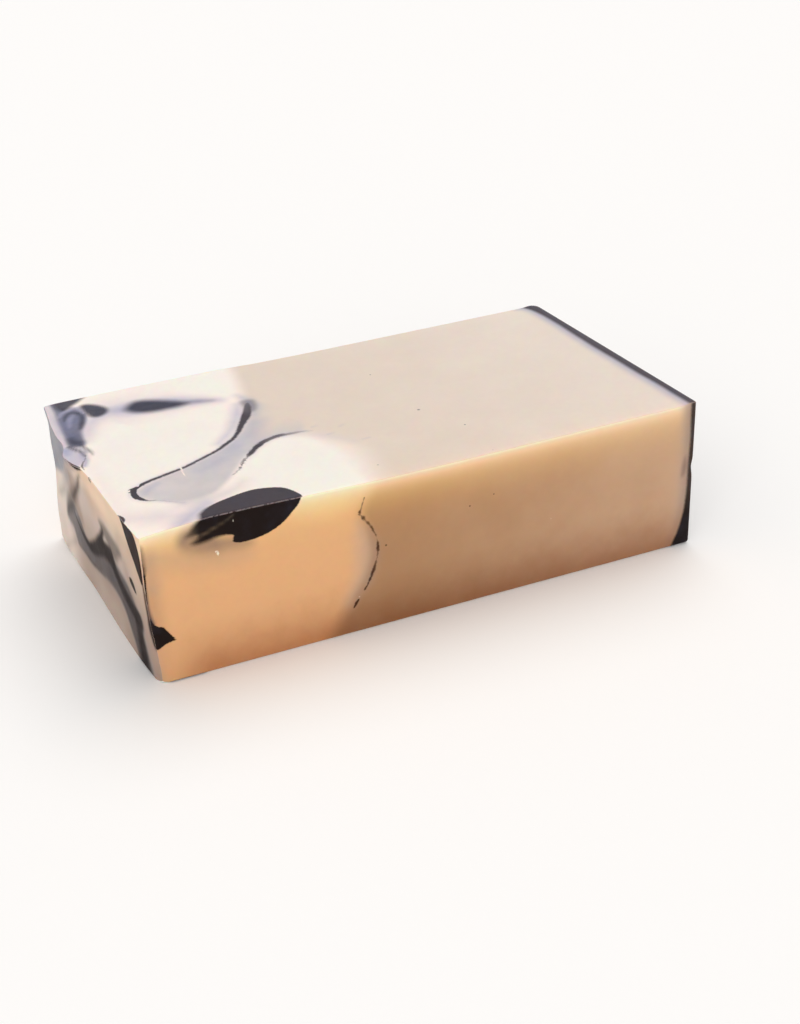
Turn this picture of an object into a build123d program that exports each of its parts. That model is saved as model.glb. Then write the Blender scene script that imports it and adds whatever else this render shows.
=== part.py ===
from build123d import *
import os

# A bar of handmade soap, one solid piece, cut from a poured loaf.
#
# The loaf was poured standing on what is now the dark end, so the two ends differ. The dark end
# lay on the mould's floor and is flat. The poured end was the loaf's open top, and keeps its
# gentle swells. The front and back lay against the mould's walls. The top and the bottom are
# cuts by a wire or knife, which wandered, so the bar is a little thicker at the dark end.
#
# Frame: +X towards the dark end, +Y towards the back, +Z up. The origin is at the middle of the
# bottom. Lengths are in millimetres.

# Overall size
LENGTH = 91.0  # from the dark end to the highest swell of the poured end
WIDTH = 50.8  # from mould wall to mould wall
THICKNESS_POURED_END = 23.6
THICKNESS_DARK_END = 24.6

# Edges
CUT_EDGE_RADIUS = 0.35  # round the top, and up two of the upright edges, crisp from wire and mould
BOTTOM_EDGE_RADIUS = 0.6  # round the bottom, which the bar lies on
HANDLED_EDGE_RADIUS = 0.9  # the poured end's upright front edge, softened by handling
DARK_BACK_CORNER_RADIUS = 1.8  # the dark end's upright back edge, rounded by the mould

# The poured end's relief: how far its surface lies in from the highest swell.
# Each row is a height, as a share of the thickness, and each column a place across the width,
# as a share of the half width from front to back. The outer rows and columns pass the bar's edges.
RELIEF_ACROSS = (-1.15, -0.67, -0.33, 0.0, 0.22, 0.5, 0.75, 1.15)
RELIEF_UP = (-0.15, 0.25, 0.5, 0.75, 1.15)
RELIEF_INSET = (
    (2.7, 1.9, 1.8, 1.7, 1.6, 1.2, 1.3, 1.2),
    (3.3, 2.0, 1.7, 1.5, 1.4, 1.3, 1.5, 1.8),
    (2.8, 1.8, 1.6, 1.3, 1.1, 1.2, 1.4, 1.9),
    (2.7, 1.7, 1.5, 1.1, 0.7, 0.8, 1.1, 1.9),
    (2.6, 1.6, 1.3, 0.5, -0.25, -0.1, 0.4, 1.6),
)
RELIEF_DEGREE = 3  # smooth through the points, with no swells of its own between them


def cut_slab():
    """The slab between the two cuts, from mould wall to mould wall, both ends square."""
    half = LENGTH / 2
    outline = Polyline(
        (-half, 0),
        (half, 0),
        (half, THICKNESS_DARK_END),
        (-half, THICKNESS_POURED_END),
        close=True,
    )
    side = Plane.XZ * make_face(outline)
    return extrude(side, WIDTH / 2, both=True)


def poured_surface():
    """The loaf's open top: a smooth sheet through the relief's points, wider than the slab."""
    rows = []
    for up, insets in zip(RELIEF_UP, RELIEF_INSET):
        row = []
        for across, inset in zip(RELIEF_ACROSS, insets):
            row.append((inset - LENGTH / 2, across * WIDTH / 2, up * THICKNESS_POURED_END))
        rows.append(row)
    return Face.make_surface_from_array_of_points(
        rows, min_deg=RELIEF_DEGREE, max_deg=RELIEF_DEGREE
    )


def trim_to_poured_surface(slab):
    """Takes away what lies outside the poured surface."""
    outwards = (-LENGTH, 0, 0)
    outside = Solid.extrude(poured_surface(), outwards)
    return slab - outside


def upright_edge(bar, end, side):
    """The upright edge at that end (-1 poured, +1 dark) and that side (-1 front, +1 back)."""
    corner = Vector(end * LENGTH / 2, side * WIDTH / 2, THICKNESS_POURED_END / 2)
    return min(bar.edges(), key=lambda edge: (edge.center() - corner).length)


def soften_edges(bar):
    """Rounds the two soft upright edges, then the crisp edges together, then round the bottom."""
    bar = fillet(upright_edge(bar, end=1, side=1), DARK_BACK_CORNER_RADIUS)
    bar = fillet(upright_edge(bar, end=-1, side=-1), HANDLED_EDGE_RADIUS)
    crisp = [upright_edge(bar, end=1, side=-1), upright_edge(bar, end=-1, side=1)]
    crisp += bar.faces().sort_by(Axis.Z)[-1].edges()
    bar = fillet(crisp, CUT_EDGE_RADIUS)
    return fillet(bar.faces().sort_by(Axis.Z)[0].edges(), BOTTOM_EDGE_RADIUS)


def on_its_origin(bar):
    """Moves the bar so that the origin is at the middle of its bottom."""
    box = bar.bounding_box()
    middle = box.center()
    return bar.moved(Location((-middle.X, -middle.Y, -box.min.Z)))


def soap_bar():
    return on_its_origin(soften_edges(trim_to_poured_surface(cut_slab())))


os.makedirs("parts", exist_ok=True)
export_step(soap_bar(), "parts/soap_bar.step")
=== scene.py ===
from functools import partialmethod

import bpy
import numpy as np
from mathutils import Matrix, Vector
from mathutils.bvhtree import BVHTree


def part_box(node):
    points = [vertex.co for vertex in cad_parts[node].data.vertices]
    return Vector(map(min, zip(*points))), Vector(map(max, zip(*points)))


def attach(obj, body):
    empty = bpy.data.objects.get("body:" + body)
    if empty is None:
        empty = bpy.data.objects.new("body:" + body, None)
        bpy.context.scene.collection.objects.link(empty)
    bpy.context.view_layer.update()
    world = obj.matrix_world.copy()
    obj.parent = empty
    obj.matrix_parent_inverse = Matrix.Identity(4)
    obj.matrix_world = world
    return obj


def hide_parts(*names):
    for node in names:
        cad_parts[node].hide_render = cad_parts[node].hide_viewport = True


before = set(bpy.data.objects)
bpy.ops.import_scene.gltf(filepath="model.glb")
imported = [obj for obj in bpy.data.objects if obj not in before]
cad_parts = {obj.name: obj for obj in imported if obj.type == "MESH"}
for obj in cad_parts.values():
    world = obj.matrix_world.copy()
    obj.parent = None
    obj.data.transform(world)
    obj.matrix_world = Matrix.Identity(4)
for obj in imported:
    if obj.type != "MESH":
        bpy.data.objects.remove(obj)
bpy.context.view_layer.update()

# A bar of marbled handmade soap. The imported solid gives its shape. This script lays a fine mesh
# over that solid, adds the small relief of a cut and poured surface, and works out where each
# colour of soap lies on the six faces, and where light and shade are painted on them. Curves are
# in millimetres, the scene is in metres.

MM = 0.001
LOW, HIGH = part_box("soap_bar")
XL, YL, ZL = (v / MM for v in LOW)
XH, YH, ZH = (v / MM for v in HIGH)
CAMERA = np.array((-83.998, -204.474, 120.061))  # the photo's viewpoint


# ---- grid over the bar

EDGE_STEPS = (0.07, 0.1, 0.13, 0.17, 0.22, 0.28)  # the first steps in from every edge


def spaced(length, step_of):
    """Grid lines from 0 to length, closer at both ends; step_of gives the step at a place."""
    low, high = [0.0], [length]
    for s in EDGE_STEPS:
        low.append(low[-1] + s)
        high.append(high[-1] - s)
    a, b = low[-1], high[-1]
    inner = [a]
    while inner[-1] < b:
        inner.append(inner[-1] + step_of(inner[-1]))
    inner = np.array(inner)
    inner = a + (inner - a) * (b - a) / (inner[-1] - a)
    return np.concatenate([low[:-1], inner, high[::-1][1:]])


# Coarser from 47 to 84 mm, where there is only the tan soap
XS = spaced(XH - XL, lambda x: 0.33 if x < 47 else (0.62 if x < 84 else 0.36))
YS = spaced(YH - YL, lambda y: 0.46)
ZS = spaced(ZH - ZL, lambda z: 0.44)


def box_surface(nx, ny, nz):
    """The grid places of a box's surface points, and its quads as indices into them, facing out."""
    index = -np.ones((nx, ny, nz), int)
    i, j, k = np.meshgrid(range(nx), range(ny), range(nz), indexing="ij")
    on = (i == 0) | (i == nx - 1) | (j == 0) | (j == ny - 1) | (k == 0) | (k == nz - 1)
    index[on] = np.arange(on.sum())
    quads = []
    for sheet, flip in (
        (index[:, :, -1], False), (index[:, :, 0], True),
        (index[:, 0, :], False), (index[:, -1, :], True),
        (index[-1, :, :], False), (index[0, :, :], True),
    ):
        corners = (sheet[:-1, :-1], sheet[1:, :-1], sheet[1:, 1:], sheet[:-1, 1:])
        q = np.stack(corners, -1).reshape(-1, 4)
        quads.append(q[:, ::-1] if flip else q)
    return (i[on], j[on], k[on]), np.concatenate(quads)


(I, J, K), QUADS = box_surface(len(XS), len(YS), len(ZS))
LAST_I, LAST_J, LAST_K = len(XS) - 1, len(YS) - 1, len(ZS) - 1
TO_SIDES = [np.minimum(s[n], s[-1] - s[n]) for s, n in ((XS, I), (YS, J), (ZS, K))]
EDGE_GAP = np.sort(TO_SIDES, 0)[1]  # distance along the face to its nearest edge
NOISE_SIDE, OCTAVES = 32, 3


def smooth_noise(points, scale, seed):
    """A few octaves of smooth value noise in -1..1, at points in millimetres."""
    table = np.random.default_rng(seed).uniform(-1, 1, (NOISE_SIDE,) * 3)
    total = np.zeros(len(points))
    weight = 0.0
    for octave in range(OCTAVES):
        p = points / (scale / 2 ** octave) + 11.3 * octave
        base = np.floor(p).astype(int)
        f = p - base
        f = f * f * (3 - 2 * f)
        value = 0
        for dx, dy, dz in np.ndindex(2, 2, 2):
            w = np.abs(1 - dx - f[:, 0]) * np.abs(1 - dy - f[:, 1]) * np.abs(1 - dz - f[:, 2])
            value = value + w * table[tuple((base + (dx, dy, dz)).T % NOISE_SIDE)]
        total += value * 0.5 ** octave
        weight += 0.5 ** octave
    return total / weight


def blur(grid, rounds):
    """Averages a 2-D grid with its neighbours, the given number of times."""
    for _ in range(rounds):
        g = np.pad(grid, 1, mode="edge")
        grid = (4 * g[1:-1, 1:-1] + g[:-2, 1:-1] + g[2:, 1:-1] + g[1:-1, :-2] + g[1:-1, 2:]) / 8
    return grid


def ramp(value, low, high):
    """Smooth step from 0 at low to 1 at high."""
    t = np.clip((value - low) / (high - low), 0, 1)
    return t * t * (3 - 2 * t)


END_TOP = 23.0  # the poured end is measured no higher, clear of the edge's rounding
ROUNDED = 2.6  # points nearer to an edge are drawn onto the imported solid's rounding


def bar_points():
    """The grid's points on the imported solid, and the poured end's place, in millimetres."""
    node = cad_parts["soap_bar"]
    vertices = [v.co / MM for v in node.data.vertices]
    tree = BVHTree.FromPolygons(vertices, [p.vertices[:] for p in node.data.polygons])
    y, z = np.meshgrid(YL + YS, ZL + ZS, indexing="ij")
    end = np.full(y.shape, np.nan)
    for a in range(y.shape[0]):
        for b in range(y.shape[1]):
            across = min(max(y[a, b], YL + 1.0), YH - 0.5)
            up = min(max(z[a, b], ZL + 0.8), END_TOP)
            end[a, b] = tree.ray_cast(Vector((XL - 5, across, up)), Vector((1, 0, 0)))[0].x
    end = blur(end, 6)
    down = Vector((0, 0, -1))
    top_low, top_high = (tree.ray_cast(Vector((x, 0, ZH + 5)), down)[0].z for x in (XL + 4, XH - 4))
    slope = (top_high - top_low) / (XH - XL - 8)
    x_end = end[J, K]
    x = x_end + (XH - x_end) * XS[I] / XS[-1]
    top = top_low + slope * (x - XL - 4)
    points = np.stack([x, YL + YS[J], top * ZS[K] / ZS[-1]], 1)
    for n in np.nonzero(EDGE_GAP < ROUNDED)[0]:
        found = np.array(tree.find_nearest(Vector(points[n]))[0])
        away = np.clip(1.6 - 0.6 * EDGE_GAP[n], 0, 1) if I[n] == 0 else 1.0
        points[n] = points[n] * (1 - away) + found * away
    return points, x_end


# ---- curves and fields

def smooth_curve(points, closed=False, steps=7):
    """A Catmull-Rom curve through the points, of any number of columns."""
    p = np.array(points, float)
    if closed:
        p = np.concatenate([p[-1:], p, p[:2]])
    else:
        p = np.concatenate([2 * p[:1] - p[1:2], p, 2 * p[-1:] - p[-2:-1]])
    t = np.linspace(0, 1, steps, endpoint=False)[:, None]
    out = []
    for a, b, c, d in zip(p[:-3], p[1:-2], p[2:-1], p[3:]):
        bend, twist = 2 * a - 5 * b + 4 * c - d, 3 * b - a - 3 * c + d
        out.append(0.5 * (2 * b + (c - a) * t + bend * t ** 2 + twist * t ** 3))
    if not closed:
        out.append(p[-2:-1])
    return np.concatenate(out)


def nearest_on(points, curve, closed=False):
    """For each point, the distance to a 2-D curve, its nearest run's share and number, and the side."""
    best = np.full(len(points), 1e9)
    share = np.zeros(len(points))
    side = np.ones(len(points))
    which = np.zeros(len(points), int)
    ends = np.roll(curve, -1, 0) if closed else curve[1:]
    for n, (p, q) in enumerate(zip(curve, ends)):
        d = q - p
        rel = points - p
        t = np.clip(rel @ d / max(d @ d, 1e-12), 0, 1)
        gap = rel - t[:, None] * d
        dist = np.hypot(gap[:, 0], gap[:, 1])
        take = dist < best
        best[take] = dist[take]
        share[take] = t[take]
        which[take] = n
        side[take] = np.where(d[0] * rel[take, 1] - d[1] * rel[take, 0] >= 0, 1.0, -1.0)
    return best, share, which, side


def inside(points, ring):
    """True for the 2-D points inside the ring."""
    result = np.zeros(len(points), bool)
    x, y = points.T
    for p, q in zip(ring, np.roll(ring, -1, 0)):
        crosses = (p[1] > y) != (q[1] > y)
        with np.errstate(divide="ignore", invalid="ignore"):
            at = (q[0] - p[0]) * (y - p[1]) / (q[1] - p[1]) + p[0]
        result ^= crosses & (x < at)
    return result


def shape_distance(points, outline):
    """Signed distance to a closed smooth outline, negative inside."""
    ring = smooth_curve(outline, closed=True)
    dist = nearest_on(points, ring, closed=True)[0]
    return np.where(inside(points, ring), -dist, dist)


def beyond(points, edge):
    """Signed distance past an edge that runs from high v to low v: positive on its +u side."""
    dist, _, _, side = nearest_on(points, smooth_curve(edge))
    return dist * side


FIELDS = {
    "ink": 3.0,  # distance to crisp dark shapes, negative inside
    "vein": 3.0,  # distance from the middle of dark lines
    "width": -1.0,  # the lines' half width
    "dense": 1.0,  # how opaque the crisp dark is
    "broken": 0.0,  # how broken the lines are
    "soft": 0.09,  # how wide the crisp dark's rim is
    "smoke": 0.0,  # blurred dark
    "haze": 0.0,  # thin bluish cast
    "pool": 0.0,  # grey, as in the pool
    "tan": 0.0,  # tan rather than cream
    "wall": 0.0,  # the skin left by the mould; the colours it picks are partly painted warm bounce light
    "film": 0.0,  # the skin of the poured end
    "bright": 0.0,  # painted light and shade over the poured end, and a painted glow below the top edges of the other faces
    "chip": 3.0,  # distance to pale scratches and chips
    "depth": 30.0,  # distance down from the top edge
}


class Paint:
    """The colour fields, filled face by face. A face is the indices of its points, and their u and v."""

    def __init__(self, count):
        for name, value in FIELDS.items():
            setattr(self, name, np.full(count, value))

    def face(self, at, uv):
        self.at, self.uv = at, uv

    def shapes(self, *outlines):
        """Crisp shapes."""
        for outline in outlines:
            self.ink[self.at] = np.minimum(self.ink[self.at], shape_distance(self.uv, outline))

    def line(self, rows, broken=0.0, chip=False):
        """A crisp line. Each row is a point of it, its half width there, and how opaque it is."""
        rows = [r if len(r) == 4 else (*r, 1.0) for r in rows]
        curve = smooth_curve(rows)
        dist, share, which, side = nearest_on(self.uv, curve[:, :2])
        mixed = curve[which] * (1 - share)[:, None] + curve[which + 1] * share[:, None]
        width = mixed[:, 2]
        for tip, inner in ((curve[0, :2], curve[1, :2]), (curve[-1, :2], curve[-2, :2])):
            out = (self.uv - tip) @ ((tip - inner) / max(np.hypot(*(tip - inner)), 1e-9))
            close = np.hypot(*(self.uv - tip).T) < dist + 1e-6
            width = np.where(close & (out > 0), width - 2.0 * out, width)
        if chip:
            self.chip[self.at] = np.minimum(self.chip[self.at], dist - width)
            return
        nearer = dist < np.abs(self.vein[self.at])
        spots = self.at[nearer]
        self.vein[spots] = (dist * side)[nearer]
        self.width[spots] = np.where(dist > 1.5, -1.0, width)[nearer]
        self.dense[spots] = mixed[nearer, 3]
        self.broken[spots] = broken

    def blurred(self, rows, rim, strength):
        """A soft-edged patch inside the outline, or a stroke where the rows also hold a half width."""
        if len(rows[0]) == 2:
            past = shape_distance(self.uv, rows)
        else:
            curve = smooth_curve([row[:3] for row in rows])
            dist, share, which, _ = nearest_on(self.uv, curve[:, :2])
            past = dist - (curve[which, 2] * (1 - share) + curve[which + 1, 2] * share)
        return strength * (1 - ramp(past, -rim, rim))

    def soft_values(self, marks):
        """Each mark is what blurred takes, in a tuple, or plain values."""
        for mark in marks:
            yield np.clip(self.blurred(*mark) if isinstance(mark, tuple) else mark, 0, 1)

    def add(self, name, *marks):
        """Lays soft marks over what the field already holds."""
        field = getattr(self, name)
        for value in self.soft_values(marks):
            field[self.at] = 1 - (1 - field[self.at]) * (1 - value)

    def cut(self, name, *marks):
        """Takes soft marks out of the field."""
        field = getattr(self, name)
        for value in self.soft_values(marks):
            field[self.at] *= 1 - value


# The top, seen from above: x to the dark end, y to the back
MAIN_VEIN = (
    (-14.9, 10.4, 0.2, 0.5), (-15.3, 9.2, 0.5, 0.75), (-15.9, 7.6, 0.66, 0.9), (-16.8, 5.7, 0.76),
    (-17.8, 4, 0.62), (-18.8, 2.4, 0.5), (-20, 0.4, 0.4), (-21.4, -1.4, 0.36), (-22.6, -2.4, 0.36),
    (-24.6, -4, 0.33), (-26.2, -4.9, 0.31), (-28.4, -6, 0.3), (-30.4, -7, 0.3), (-32, -7.6, 0.32),
    (-33.8, -8.1, 0.34), (-35.4, -8.6, 0.35), (-37, -9.1, 0.36), (-38.4, -9.8, 0.38), (-39.4, -10.5, 0.42),
    (-39.9, -11.6, 0.46), (-40, -12.8, 0.5), (-39.7, -13.6, 0.45), (-39.3, -14.4, 0.3),
    (-38.6, -15.1, 0.16, 0.6), (-37.6, -15.5, 0.08, 0.45), (-36.3, -16.6, 0.06, 0.3),
    (-34.4, -18.2, 0.02, 0.2),
)
TURN_SPUR = ((-38.8, -9.9, 0.12), (-39.8, -10.3, 0.2), (-40.4, -10.4, 0.06))
BRUSH_TIP = ((-15.9, 11.2), (-13.7, 11), (-14.2, 7.8), (-15.6, 6.8))
BRUSH_HAZE = ((-15.4, 14, 0.4), (-14.6, 11.2, 0.9), (-14.8, 7.8, 0.7), (-15.6, 5.4, 0.5))
BRUSH_BACK = ((-16.6, 10.4, 0.4), (-17.6, 7.6, 0.7), (-19.2, 4.4, 0.7), (-21, 1.4, 0.5), (-24, -2, 0.3))
SECOND_VEIN = (
    (-9.6, -5, 0.06, 0.12), (-10.8, -4.5, 0.16, 0.3), (-12.2, -4.2, 0.34, 0.45), (-13.6, -4.1, 0.38, 0.6),
    (-14.9, -3.95, 0.52, 0.85), (-16.2, -4.2, 0.48, 0.85), (-17.5, -4.7, 0.52, 0.9), (-18.7, -5.5, 0.52),
    (-19.9, -6.6, 0.5), (-20.9, -7.7, 0.42), (-21.7, -8.6, 0.3, 0.8),
)
SECOND_VEIN_DOTS = (
    (-21.7, -8.6, 0.26, 0.7), (-22.6, -9.6, 0.3, 0.7), (-23.7, -11.3, 0.26, 0.8), (-24.6, -12.4, 0.18, 0.6),
    (-25.8, -13.3, 0.08, 0.5),
)
POOL = (
    (-13.4, 9.6), (-15.6, 5.4), (-17.8, 2.6), (-20.4, -0.9), (-24.4, -4.3), (-30.6, -7.4), (-38, -10.2),
    (-39.5, -12.4), (-38.2, -15), (-34.6, -17.6), (-30.2, -17.4), (-27, -14.8), (-24.4, -11.6), (-21.6, -8),
    (-19.2, -5.6), (-15.6, -3.8), (-11.4, -4), (-10, -1), (-10.6, 4.4),
)
POOL_NECK = ((-16.4, 2.6, 1), (-19.4, -2, 1.6), (-22.4, -4.6, 1.8), (-25.6, -7.4, 1.4), (-29, -9.6, 0.8))
POOL_SHORE = ((-27, -17.8, 0.6), (-25, -14.6, 0.9), (-23, -11, 0.6), (-21.4, -8.2, 0.2))
POOL_FADE = (
    (-35, -18.4, 0.6), (-32.4, -18.2, 1.2), (-29.4, -18.4, 1.2), (-26.8, -17.6, 0.8), (-25, -15.8, 0.2),
)
POOL_TIP = ((-38.5, -12.8, 0.2), (-37.6, -11.5, 0.4), (-36, -10.3, 0.2))
POOL_END = ((-39.6, -12.6), (-37.6, -10.8), (-34.6, -10), (-34.2, -13.6), (-36.2, -16), (-38.6, -15.6))
LOBE_SHADE = ((-14.4, -4.4, 0.3), (-11, -6, 0.8), (-8, -8.4, 0.9), (-5.8, -11.4, 0.7))
LEAF_TOP = (
    (-34, -26.5), (-33.9, -23), (-33.2, -21.9), (-32.3, -21.2), (-30.6, -20.4), (-29, -19.9), (-27.1, -19.4),
    (-25.1, -19.1), (-23.5, -19.3), (-21.4, -20.1), (-20.3, -21.2), (-19.6, -22.8), (-19.3, -24.4),
    (-20.4, -26.6), (-27, -28),
)
BACK_LEAF = (
    (-32.6, 18.4), (-31, 20), (-29, 19.8), (-26.6, 18.4), (-24.7, 16.8), (-23.4, 15.2), (-25, 14.5),
    (-27.5, 14.5), (-29.6, 14.7), (-31.6, 15.6), (-32.8, 17),
)
BACK_LEAF_HALO = ((-36, 18.4, 1), (-32.6, 17.8, 2.2), (-28, 17, 2.4), (-23, 15.6, 1.7), (-18.6, 13.6, 0.5))
BACK_LEAF_TAIL = ((-25, 15.8, 0.9), (-22, 15, 0.5), (-19.6, 14.2, 0.2))
COOL_BACK = ((-41, 12, 1), (-39, 16, 3), (-35, 18, 5), (-28, 17, 4), (-22, 15, 1))
SMALL_LEAF = (
    (-38.9, 22.8), (-37.6, 23), (-36, 21.5), (-35.2, 19.6), (-35.8, 18), (-37.2, 17.2), (-38.4, 17.8),
    (-38.9, 20.4),
)
CORNER_PATCH = (
    (-42.7, 28), (-40.5, 28), (-36.8, 27.2), (-38.4, 25), (-40.1, 23.5), (-41.2, 22.3), (-42, 22.3),
    (-42.6, 24.4),
)
WHORL = (
    (-42.9, 27), (-42, 24), (-41.2, 22.8), (-40.3, 23), (-39, 22), (-38.8, 19.6), (-39.2, 17.6),
    (-40.1, 15.2), (-41.1, 12.8), (-41.5, 10.4), (-41.8, 8.2), (-42.6, 7.7), (-43.8, 8), (-44.2, 8.6),
    (-44, 12), (-43.7, 17), (-43.2, 22),
)
WHORL_FOOT = ((-43.3, 11, 0.5), (-43.1, 9.4, 0.8), (-42.4, 9.2, 0.6))
WHORL_GAP = ((-43.2, 7.6, 0.3), (-42.6, 6.6, 0.4), (-42.2, 5.2, 0.2))
WHORL_FALL = ((-41, 9, 0.3), (-40.2, 12.4, 0.7), (-38.8, 15.6, 0.9), (-37.4, 17, 0.6))
SMUDGES = ((-7.8, -7.3, 0.5), (-3.8, -11.6, 0.6), (-9, -3.6, 0.4), (-5.2, -5.4, 0.4))
WHORL_INNER = ((-42.4, 15.4, 0.15), (-42, 17, 0.35), (-41.5, 18.6, 0.4), (-40.8, 19.7, 0.2))
WHORL_STREAK = (
    (-42.9, 20, 0.15), (-42.3, 21.3, 0.3), (-41.1, 22.1, 0.35), (-39.9, 22.4, 0.35), (-39.3, 21.4, 0.3),
    (-39.1, 19.8, 0.15),
)
WHORL_RIGHT = (
    (-39.9, 20.2, 0.3), (-39.6, 19, 0.35), (-39.8, 17.6, 0.45), (-40.3, 16, 0.45), (-41, 14.2, 0.25),
)
WHORL_LEFT = (
    (-42.5, 18.2, 0.15), (-42.1, 19.6, 0.3), (-41.3, 20.7, 0.3), (-40.5, 20.9, 0.35), (-39.9, 20.2, 0.3),
)
WHORL_LEG_LEFT = (
    (-44.3, 8.3, 0.3), (-43.8, 7.3, 0.35), (-43.3, 6.3, 0.3), (-42.9, 5.2, 0.2), (-42.85, 4, 0.08),
)
WHORL_LEG_RIGHT = (
    (-42.5, 8.2, 0.35), (-42.2, 7, 0.25), (-41.85, 5.6, 0.22), (-41.7, 4.6, 0.15), (-41.8, 3.8, 0.05),
)
LOBE = (
    (-46.8, 4.8), (-46.2, 2.4), (-45.2, 0.7), (-44.4, 1.1), (-43.6, 2.6), (-43.1, 4.4), (-43.2, 6.2),
    (-43.8, 7.4), (-44.6, 8), (-46.4, 8.2),
)
LOBE_LINE_LEFT = ((-46, 5, 0.12), (-45.6, 2.8, 0.22), (-45.1, 1.2, 0.28), (-44.6, 0.5, 0.16))
LOBE_LINE_RIGHT = (
    (-42.7, 4.6, 0.06, 0.3), (-43.1, 3, 0.12, 0.4), (-43.8, 1.8, 0.14, 0.6), (-44.2, 0.6, 0.16, 0.8),
    (-44.2, -0.8, 0.06, 0.6),
)
RIM_LAVENDER = ((-44.6, 26, 1.3), (-44.4, 20, 1.1), (-44.8, 14, 0.9), (-44.9, 10, 0.7), (-45.1, 6, 0.6))
TOP_EDGE_DASH = ((-44.3, -3.1, 0.06), (-44.35, -4.2, 0.16), (-44.35, -5.6, 0.05))
TOP_EDGE_BLOB = (
    (-44.2, -17.2), (-43.6, -17.3), (-43.2, -18.3), (-43.3, -19.3), (-43.8, -19.9), (-44.6, -19.9),
)
COOL_CORNER = ((-42.4, -19, 1), (-38.6, -20.6, 2), (-35, -22, 2), (-32.4, -19.6, 1.2))
COOL_LEFT = ((-43.4, -18, 1), (-43, -8, 0.6), (-42.8, 0, 0.4))
LOBE_RIGHT = ((-42.9, 5.4, 0.3), (-43.2, 2.6, 0.4), (-43.8, 0.6, 0.2))
COOL_HALO = ((-38, -25, 0.6), (-36, -23.4, 1), (-34.2, -21.8, 0.8), (-31.6, -20.2, 0.4))
TAN_EDGE_TOP = (
    (-12.4, 28), (-13.4, 21), (-14.4, 15), (-15.6, 10.4), (-17.2, 6), (-18.8, 2), (-20, -1.6), (-20.6, -4.6),
    (-19.6, -6), (-18, -5.2), (-15.8, -4.4), (-13, -4.2), (-10.6, -4.6), (-8.4, -6.4), (-6.4, -9.4),
    (-5, -13), (-4.8, -18), (-6.6, -28),
)
TOP_CHIPS = (
    ((-31.4, -6.2, 0.04), (-31.55, -7.4, 0.14), (-31.7, -9, 0.1), (-31.85, -10.6, 0.02)),
    ((-37.3, -9.7, 0.03), (-36.6, -9.9, 0.14), (-35.9, -9.8, 0.02)),
)

# The front: x to the dark end, z up
LEAF_FRONT = (
    (-33.4, 25.6), (-27.9, 27), (-22, 27), (-19.2, 25.8), (-19.7, 24.5), (-20.3, 23.3), (-21.3, 22.3),
    (-22.4, 21.3), (-23.9, 20.4), (-25.7, 19.8), (-27.9, 19.5), (-29.5, 19.6), (-30.3, 20.1), (-29.9, 20.8),
    (-31, 21.2), (-32.4, 21.2), (-33.8, 20.9), (-35.4, 20.8), (-36.2, 21.1), (-35.6, 21.6), (-35.2, 22.1),
    (-36.8, 22.2), (-36.2, 23), (-35, 24.3),
)
LEAF_STREAK = (
    (-29.8, 24, 0.05), (-31.3, 23.2, 0.1), (-32.6, 22.7, 0.12), (-34.2, 22.1, 0.16), (-36, 21.5, 0.2),
)
LEAF_SMEAR = (
    (-37.8, 22.4), (-36.8, 23.4), (-34.6, 24), (-32.6, 21.6), (-29.8, 20.6), (-27.4, 19.2), (-28.6, 18.7),
    (-31.4, 18.9), (-34.2, 19.2), (-36.6, 19.8), (-37.8, 20.9),
)
THIN_LINE = (
    (-10.3, 22, 0.06, 0.7), (-10.6, 21.1, 0.1, 0.7), (-11, 20.2, 0.1, 0.75), (-11.2, 19.6, 0.28, 0.95),
    (-11, 19.2, 0.08, 0.5), (-10.65, 18.7, 0.3, 0.95), (-10.3, 18.2, 0.1, 0.5), (-9.95, 17.7, 0.22, 0.85),
    (-9.7, 17.3, 0.1, 0.6), (-9.45, 16.9, 0.22, 0.85), (-9.1, 16.1, 0.1, 0.8), (-8.85, 15.5, 0.1, 0.8),
    (-8.7, 14.9, 0.04, 0.4), (-8.6, 14.2, 0.2, 0.9), (-8.6, 13, 0.22, 0.9), (-8.75, 12, 0.08, 0.5),
    (-9.05, 11, 0.14, 0.75), (-9.4, 10, 0.26, 0.95), (-10.2, 8.2, 0.18, 0.95), (-11.1, 6.8, 0.12, 0.9),
)
THIN_LINE_END = ((-11.9, 5.7, 0.08), (-12.3, 5.2, 0.26), (-12.9, 4.3, 0.12))
THIN_LINE_HAZE = ((-11.4, 18, 0.2), (-11, 16.4, 1), (-10.6, 13.4, 1.6), (-11.2, 9.4, 1.4), (-13.4, 5.6, 0.6))
THIN_LINE_SHADE = (
    (-10, 17, 0.1), (-9.4, 14.6, 0.4), (-9.2, 12.6, 0.5), (-9.7, 10.6, 0.5), (-10.6, 8.6, 0.4),
    (-12.2, 6.2, 0.3),
)
DARK_EDGE_SMEAR = ((44.2, 15.6, 0.1), (44.15, 14.2, 0.4), (43.9, 12.6, 0.2))
LEAF_SHADE = ((-41.5, 20.2, 0.6), (-39, 19.4, 1.2), (-35, 18.6, 1.4), (-31, 17.8, 1), (-28, 17.4, 0.3))
LEAF_TIP = ((-35.4, 23.2, 0.3), (-36.6, 22.4, 0.5), (-37.4, 21.6, 0.3))
CORNER_SHADE = ((-43.4, 20, 1.4), (-43.2, 12, 1.8), (-43, 4, 1.6), (-43, -2, 1.6))
CORNER_GREY = ((-43.4, 22.6, 0.4), (-42.8, 20, 1.6), (-42.6, 16, 1.4))
CORNER_WRAP = (
    (-46, 22.9), (-43.3, 22.6), (-42.9, 21.4), (-42.85, 19.6), (-42.9, 17.6), (-43, 16), (-43.1, 14.4),
    (-43.3, 13.2), (-46, 13),
)
FRONT_GLOW = ((-21.6, 24.6, 1), (-18, 23.6, 2.6), (-14.6, 23.6, 2.4), (-12.6, 24.4, 0.6))
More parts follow.
